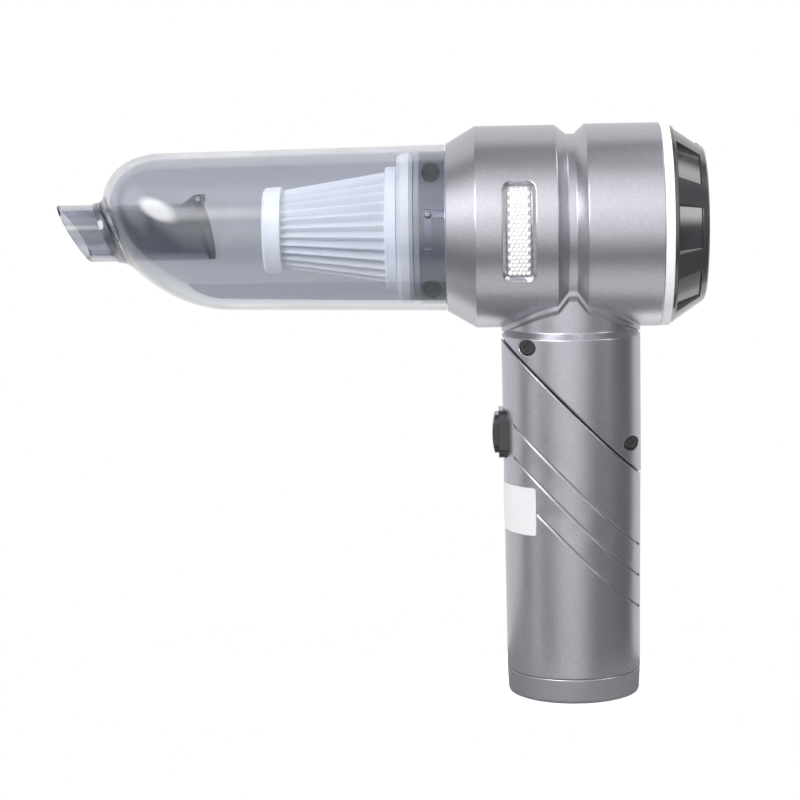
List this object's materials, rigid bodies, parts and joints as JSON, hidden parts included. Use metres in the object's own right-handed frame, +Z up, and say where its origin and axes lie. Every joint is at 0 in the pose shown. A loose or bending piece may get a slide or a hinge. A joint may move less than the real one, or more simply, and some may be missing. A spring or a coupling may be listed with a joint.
{
  "type": "handheld vacuum blower",
  "caption": "Cordless hand vacuum and blower with a clear dust cup, a lamp on the turbine head and a folding handle.",
  "frame": {"origin": "centre of the handle's flat foot, on the surface that the part stands on", "axes": "+Z up along the handle, +X towards the blower outlet, -X towards the suction nozzle, -Y towards the lamp side"},
  "size_m": [0.1962, 0.0614, 0.1744],
  "materials": {
    "shell": "satin gunmetal paint with fine flake",
    "grey_plastic": "matt",
    "dark_gloss": "gloss",
    "black_plastic": "matt",
    "black_screw": "black oxide",
    "white_plastic": "semi-gloss",
    "lamp_clear": "prismatic",
    "board": "solder mask",
    "smoke_clear": "transparent smoke grey",
    "seal_rubber": "matt",
    "black_rubber": "matt",
    "filter_paper": "matt",
    "filter_plastic": "translucent white",
    "steel": "satin",
    "magnet": "matt",
    "winding": "enamelled copper",
    "bearing_bronze": "sintered",
    "impeller_plastic": "semi-gloss",
    "cell_wrap": "shrink sleeve",
    "bright_trim": "polished"
  },
  "bodies": {
    "head": {"left_housing": "shell", "right_housing": "shell", "housing_screws": "black_screw", "filter_seat": "grey_plastic", "intake_grille": "grey_plastic", "fan_shroud": "white_plastic", "motor_mount": "white_plastic", "motor_screws": "steel", "motor_can": "steel", "motor_magnets": "magnet", "motor_end_cap": "white_plastic", "front_bearing": "bearing_bronze", "rear_bearing": "bearing_bronze", "motor_damper": "black_rubber", "light_ring": "white_plastic", "rear_cap": "dark_gloss", "outlet_grille": "black_plastic", "lamp_lens": "lamp_clear", "lamp_board": "board", "pivot_sleeve": "white_plastic", "pivot_washer": "steel"},
    "impeller": {"impeller": "impeller_plastic", "motor_shaft": "steel", "motor_rotor": "winding"},
    "seal": {"cup_seal": "seal_rubber"},
    "cup": {"dust_cup": "smoke_clear", "inlet_tube": "smoke_clear", "flap_pin": "steel"},
    "flap": {"inlet_flap": "black_plastic"},
    "filter": {"filter_cap": "filter_plastic", "filter_pleats": "filter_paper", "filter_flange": "filter_plastic"},
    "handle": {"handle_tube": "shell", "base_cap": "shell", "battery_cells": "cell_wrap", "battery_cradle": "white_plastic", "control_board": "board", "tact_switch": "black_plastic", "charge_board": "board", "charging_socket": "steel", "switch_bezel": "bright_trim"},
    "button": {"power_button": "dark_gloss"}
  },
  "joints": [
    {"name": "handle_fold", "type": "hinge", "parent": "head", "child": "handle", "pos_m": [0, 0, 0.0889], "axis": [0.7071, 0, 0.7071], "range_deg": [0, 180]},
    {"name": "cup_twist", "type": "hinge", "parent": "head", "child": "seal", "pos_m": [-0.0496, 0, 0.1437], "axis": [-1, 0, 0], "range_deg": [0, 20]},
    {"name": "cup_pull", "type": "slide", "parent": "seal", "child": "cup", "axis": [-1, 0, 0], "range_m": [0, 0.075]},
    {"name": "flap_swing", "type": "hinge", "parent": "cup", "child": "flap", "pos_m": [-0.11252, 0, 0.1538], "axis": [0, -1, 0], "range_deg": [0, 50]},
    {"name": "filter_pull", "type": "slide", "parent": "head", "child": "filter", "axis": [-1, 0, 0], "range_m": [0, 0.008]},
    {"name": "impeller_spin", "type": "hinge", "parent": "head", "child": "impeller", "pos_m": [0, 0, 0.1437], "axis": [1, 0, 0], "continuous": true},
    {"name": "button_press", "type": "slide", "parent": "handle", "child": "button", "axis": [1, 0, 0], "range_m": [0, 0.0008], "stiffness_N_per_m": 1200, "springref_m": -0.0008}
  ]
}
